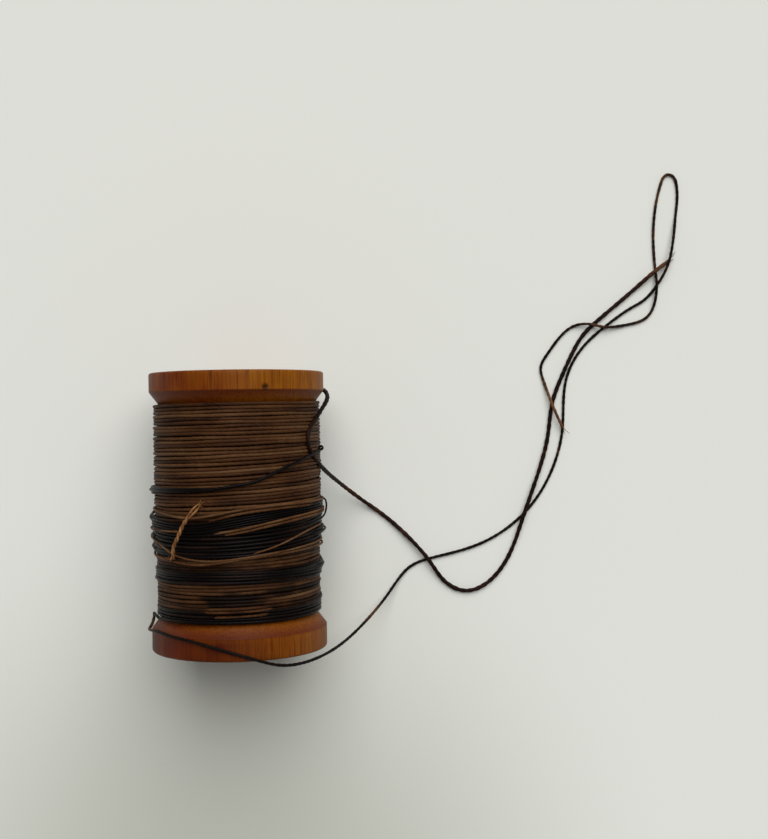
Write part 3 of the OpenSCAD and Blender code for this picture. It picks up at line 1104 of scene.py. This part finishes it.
    def _eye(self) -> Tube:
        """The small eye in which the crossing strand ends at the spool's right side."""
        centre, radius = np.array([15.65, 11.3, 18.6]), 0.3
        turn = np.radians(np.linspace(200, 200 + 430, 15))
        ring = centre + radius * np.stack([np.cos(turn), np.sin(turn), 0.12 * (turn - turn[0])], 1)
        level = self.drum.surface(10.6) + 0.35
        start = self.drum.points(np.array([70.0, 76.0]), level, np.array([10.4, 10.8]))
        path = smooth_line(np.vstack([start, ring]), self.yarn.ring_step * 0.6)
        return spun(path, self.yarn.thinner(0.5), None, 90, 0.35)


@dataclass
class FreeTail:
    """A free thread tail that leaves the winding and lies on the table."""

    name: str
    thread: Thread
    node: str
    yarn: Yarn
    finish: WaxedLinen
    exit: tuple[float, float, float]
    route: tuple[tuple[float, float, float], ...]
    tones: tuple[tuple[float, float, float], ...]
    fibres: int
    seed: int
    step: float = 0.25
    rounds: int = 14

    def build(self) -> bpy.types.Object:
        line = self.centreline()
        along = run_length(line)
        marks = np.array(self.tones)
        tone = np.interp(along, marks[:, 0], marks[:, 1]) + 0.07 * wander(along, (3.0, 7.0, 12.0), self.seed)
        soot_and_shade = np.interp(along, marks[:, 0], marks[:, 2])
        piece = piece_from_tubes(self.name, [spun(line, self.yarn, None, self.seed, tone, soot_and_shade)])
        material = self.finish.material(self.yarn)
        settle(piece, material, [self.node])
        loose = frayed(line[-1], line[-1] - line[-6], self.fibres, self.seed)
        tip = piece_from_tubes(f"{self.name}_fibres", loose)
        settle(tip, material, [])
        LOG.info("%s: %.1f mm long", self.name, along[-1])
        return piece

    def centreline(self) -> Array:
        """Smooth centreline through the route's points, no lower than the table lets it lie."""
        points = np.array([self.exit, *self.route])
        line = relaxed(smooth_line(points, self.step), self.rounds)
        line[:, 2] = np.maximum(line[:, 2], self.yarn.diameter / 2)
        return line


def frayed(tip: Array, heading: Array, count: int, seed: int) -> list[Tube]:
    """Loose fibres that spread from a thread's cut tip.

    Args:
        tip: The tip's middle.
        heading: Direction of the thread at the tip.
        count: How many fibres.
        seed: Picks their directions.

    Returns:
        One tube for each fibre.
    """
    rng = np.random.default_rng(seed)
    heading = heading / np.linalg.norm(heading)
    tubes = []
    for _ in range(count):
        spread_out = rng.normal(0, 0.45, 3) * [1, 1, 0.35]
        length = rng.uniform(0.5, 1.5)
        share = np.linspace(0, 1, 6)[:, None]
        path = tip - 0.4 * heading + share * length * heading + share**2 * length * spread_out
        path[:, 2] = np.maximum(path[:, 2], 0.06)
        fibre = Yarn(0.1, sides=5, ply_depth=0.0)
        tubes.append(spun(path, fibre, None, seed, rng.uniform(0.4, 0.9), 0.0, 0.5))
    return tubes


@dataclass
class TanEnd:
    """The short tan two-ply thread end that lies on the winding, untwisted at both tips."""

    drum: Drum
    finish: WaxedLinen
    ply: Yarn = Yarn(diameter=0.42, plies=3, ply_depth=0.12, sides=8, ring_step=0.12, twist=1.4)
    twist: float = 2.4
    # Angle, place along the axis, height of the middle over the outer layer
    COURSE = ((-43, -8.0, 0.75), (-40, -7.5, 0.85), (-38.5, -6.0, 1.1), (-34.5, -4.0, 1.15),
              (-31, -2.25, 1.1), (-27.5, -0.8, 1.0), (-23, 0.6, 0.85), (-18.5, 2.0, 0.5))

    def build(self) -> bpy.types.Object:
        """Twists two plies round the line and ties the piece to the frame."""
        drum = self.drum
        course = np.array(self.COURSE)
        arc = np.radians(course[:, 0]) * drum.head_radius
        line = smooth_line(np.stack([arc, course[:, 1], course[:, 2]], 1), self.ply.ring_step)
        radius = drum.surface(line[:, 1]) + line[:, 2]
        middle = drum.points(np.degrees(line[:, 0] / drum.head_radius), radius, line[:, 1])
        heading = unit(np.gradient(middle, axis=0))
        outward = drum.outward(middle)
        side = unit(outward - (outward * heading).sum(1, keepdims=True) * heading)
        across = np.cross(heading, side)
        along = run_length(middle)
        open_low = 1 - between(along, 0.0, 1.6)
        open_high = between(along, along[-1] - 3.6, along[-1])
        closing = 1 - 0.8 * between(along, along[-1] - 1.6, along[-1])
        reach = 0.19 + 0.16 * open_low + 0.2 * open_high * closing
        turn = 2 * math.pi * np.minimum(along, along[-1] - 3.0) / self.twist
        tubes = []
        for number in (0, 1):
            swing = turn + math.pi * number
            path = middle + reach[:, None] * (
                np.cos(swing)[:, None] * across + 0.8 * np.sin(swing)[:, None] * side
            )
            tone = 0.62 + 0.2 * wander(along, (2.0, 3.1, 5.0), 100 + number)
            tubes.append(spun(path, self.ply, None, 100 + number, tone, 0.0, 1.2))
        tubes += frayed(middle[0], middle[0] - middle[8], 5, 104)
        tubes += frayed(middle[-1], middle[-1] - middle[-9], 5, 105)
        piece = piece_from_tubes("tan_thread_end", tubes)
        settle(piece, self.finish.material(self.ply), ["tan_end"])
        return piece


BROWN_ROUTE = (
    (13.9, 18.8, 8.7), (13.5, 19.3, 7.5), (13.5, 20.5, 6.9), (14.3, 21.9, 7.4),
    (14.9, 22.2, 8.2), (15.9, 22.1, 10.6), (16.8, 20.6, 14.6), (16.1, 18.8, 18),
    (15.1, 17, 20.6), (14, 15.1, 22.8), (13.5, 13, 23.9), (13.9, 11, 23.2),
    (14.9, 9, 20.2), (16.2, 6.9, 14.8), (17.8, 5, 9.4), (20, 2.8, 4.4),
    (23.5, -0.1, 1.1), (28, -3.5, 0.45), (35.5, -11.3, 1.1), (38.6, -15.7, 0.5),
    (42.9, -17.9, 0.45), (48, -15.8, 0.45), (52, -10.3, 0.45), (54.8, -2.6, 1.1),
    (59.5, 11.3, 0.45), (60.6, 18.6, 0.45), (63, 25, 0.45), (66.2, 31.3, 0.45),
    (69.2, 34.6, 0.45), (77.5, 41.5, 0.45), (81.6, 45, 1.1), (84.2, 46.8, 0.45),
)
DARK_ROUTE = (
    (-15.5, -18.6, 18.6), (-15.7, -19, 17.3), (-15.9, -20, 16.8), (-16.2, -21, 17.3),
    (-16.4, -21.4, 18.6), (-15.7, -21.3, 21.1), (-13.9, -20.9, 24.8), (-11, -21.2, 28.4),
    (-7.7, -21.6, 30.7), (-4, -22.4, 32.1), (0, -23.5, 32.6), (4.5, -25, 32),
    (9, -26.4, 30), (14.5, -26.4, 23.9), (19.5, -24.9, 14.6), (24, -21.8, 6.2),
    (27.8, -17.8, 1.8), (31.3, -13.5, 0.3), (35.4, -11.5, 0.3), (45.5, -8.8, 0.3),
    (54.9, -2.6, 0.3), (60.2, 5.2, 0.3), (62.7, 14, 0.3), (63.4, 23, 0.3),
    (66.6, 29.6, 0.3), (71.1, 33.8, 0.3), (76.5, 37.6, 0.3), (79.3, 39.2, 0.3),
    (81.8, 42, 0.3), (84.1, 46.7, 1.5), (85.8, 56, 0.3), (86.2, 60, 0.3),
    (86, 62.5, 0.3), (85.6, 63.6, 0.3), (84.5, 64.2, 0.3), (83.5, 63.7, 0.3),
    (83.1, 62.7, 0.3), (82.3, 60, 0.3), (81.3, 52.4, 0.3), (81.6, 45, 0.3),
    (81.7, 42.2, 1), (80.4, 36.4, 0.3), (76, 34.4, 0.3), (71.1, 33.9, 0.95),
    (69.1, 34.4, 1.25), (64.8, 34.1, 0.3), (60, 28.9, 0.3), (58.5, 26.2, 0.3),
    (59.1, 23.4, 0.3), (60.6, 18.8, 1.2), (62.7, 14, 0.95),
)


@dataclass
class Table:
    """The pale table top, soft light and the camera, which aren't part of the object."""

    floor: str = "#e4e5de"
    shaded: str = "#bdbfb4"
    shade_middle: tuple[float, float, float] = (-6.0, -85.0, 0.0)
    shade_reach: tuple[float, float] = (15.0, 95.0)
    half_size: float = 900.0
    camera_place: tuple[float, float, float] = (27.3, 16.3, 248.4)
    camera_roll: float = -0.0155
    focal_pixels: float = 1250.0
    photo_height: int = 839
    sensor: float = 36.0
    light_from: tuple[float, float, float] = (0.2, 0.8, 1.0)
    light_angle: float = 60.0
    light_strength: float = 2.84
    zenith: float = 0.12
    horizon: float = 0.46
    backdrop: float = 0.8
    room_tint: tuple[float, float, float, float] = (1.0, 1.0, 0.985, 1.0)

    def build_camera(self) -> None:
        """Puts the camera where the photograph was taken from, straight above the table."""
        lens = bpy.data.cameras.new("camera")
        lens.sensor_width = self.sensor
        lens.lens = self.focal_pixels * self.sensor / self.photo_height
        lens.clip_start = 0.01
        camera = bpy.data.objects.new("camera", lens)
        camera.location = Vector(self.camera_place) * MM
        camera.rotation_euler = (0, 0, self.camera_roll)
        bpy.context.scene.collection.objects.link(camera)
        bpy.context.scene.camera = camera

    def build(self) -> None:
        """Builds the table top, the window's light and the room's."""
        bpy.ops.object.select_all(action="DESELECT")
        bpy.ops.mesh.primitive_plane_add(size=2 * self.half_size * MM, location=(0, 0, 0))
        top = bpy.context.object
        top.name = "table_top"
        top.data.materials.append(self._matt_finish())
        lamp = bpy.data.lights.new("soft_window", "SUN")
        lamp.angle = math.radians(self.light_angle)
        lamp.energy = self.light_strength
        holder = bpy.data.objects.new("soft_window", lamp)
        holder.rotation_euler = Vector(self.light_from).to_track_quat("Z", "Y").to_euler()
        bpy.context.scene.collection.objects.link(holder)
        bpy.context.scene.world = self._room()
        bpy.context.scene.view_settings.view_transform = "Standard"

    def _matt_finish(self) -> bpy.types.Material:
        """Matt pale laminate, a little darker below the spool, as the room's light leaves it."""
        material, tree = new_material("matt_table")
        place = add_node(tree, "ShaderNodeTexCoord").outputs["Object"]
        away = vectors(tree, "DISTANCE", {0: place, 1: Vector(self.shade_middle) * MM})
        near, far = self.shade_reach
        share = remap(tree, away, (near * MM, far * MM), curve="SMOOTHSTEP")
        shade = blend(tree, share, self.shaded, self.floor)
        finish_with(tree, {"Base Color": shade, "Roughness": 0.85, "Specular IOR Level": 0.2})
        return material

    def _room(self) -> bpy.types.World:
        """Light from all round, darker overhead, so that gloss doesn't veil what faces up."""
        world = bpy.data.worlds.new("room")
        world.use_nodes = True
        tree = world.node_tree
        tree.nodes.clear()
        direction = add_node(tree, "ShaderNodeTexCoord").outputs["Generated"]
        height = add_node(tree, "ShaderNodeSeparateXYZ", {0: direction}).outputs["Z"]
        light = remap(tree, height, new=(self.horizon, self.zenith))
        seen = add_node(tree, "ShaderNodeLightPath").outputs["Is Camera Ray"]
        strength = remap(tree, seen, new=(light, self.backdrop))
        room = add_node(tree, "ShaderNodeBackground", {"Color": self.room_tint, "Strength": strength})
        add_node(tree, "ShaderNodeOutputWorld", {"Surface": room.outputs[0]})
        return world


def main() -> None:
    """Builds the table's camera, the tails, the spool and the winding, in that order."""
    logging.basicConfig(level=logging.INFO, format="%(name)s: %(message)s")
    drum = Drum.from_frame()
    table = Table()
    table.build_camera()
    linen = WaxedLinen("tail_linen_brown", dark="#0c0604", middle="#2e180f", light="#5e3c28")
    FreeTail(
        name="brown_tail", thread=Thread.BROWN, node="upper_tail",
        yarn=Yarn(diameter=0.85, ply_depth=0.16, twist=3.0, sides=12, ring_step=0.25),
        finish=linen, exit=(14.07, 18.79, 12.4), route=BROWN_ROUTE,
        tones=((0, 0.2, 0.5), (22, 0.25, 0.5), (33, 0.45, 0.35), (38, 0.3, 0.4), (52, 0.45, 0.2),
               (60, 0.55, 0.2), (72, 0.35, 0.4), (150, 0.3, 0.4), (160, 0.6, 0.1), (166, 0.8, 0)),
        fibres=14, seed=21,
    ).build()
    FreeTail(
        name="dark_tail", thread=Thread.DARK, node="lower_tail",
        yarn=Yarn(diameter=0.6, ply_depth=0.16, twist=2.3, sides=10, ring_step=0.25),
        finish=WaxedLinen("tail_linen_dark", dark="#090504", middle="#1d110c", light="#6e4a2e"),
        exit=(-13.77, -18.75, 23.36), route=DARK_ROUTE,
        tones=((0, 0.3, 0.3), (4, 0.35, 0.3), (7, 0.75, 0), (13, 0.7, 0), (18, 0.3, 0.4),
               (64, 0.3, 0.4), (74, 0.7, 0.1), (80, 0.35, 0.3), (180, 0.4, 0.2), (192, 0.55, 0),
               (208, 0.6, 0), (214, 0.3, 0.4), (224, 0.6, 0), (236, 0.65, 0),
               (240, 0.3, 0.3), (246, 0.35, 0.3), (250, 0.85, 0), (262, 0.9, 0)),
        fibres=8, seed=22,
    ).build()
    TurnedSpool(drum).build()
    winding = Winding(drum)
    winding.build()
    dark = DarkTurns(drum)
    dark.build()
    SlackStrands(drum, winding.finish, dark.finish).build()
    TanEnd(drum, WaxedLinen("tan_linen", dark="#4a2a14", middle="#7d5230", light="#a8794c",
                            gloss=0.1, roughness=0.7)).build()
    table.build()


if __name__ == "__main__":
    main()
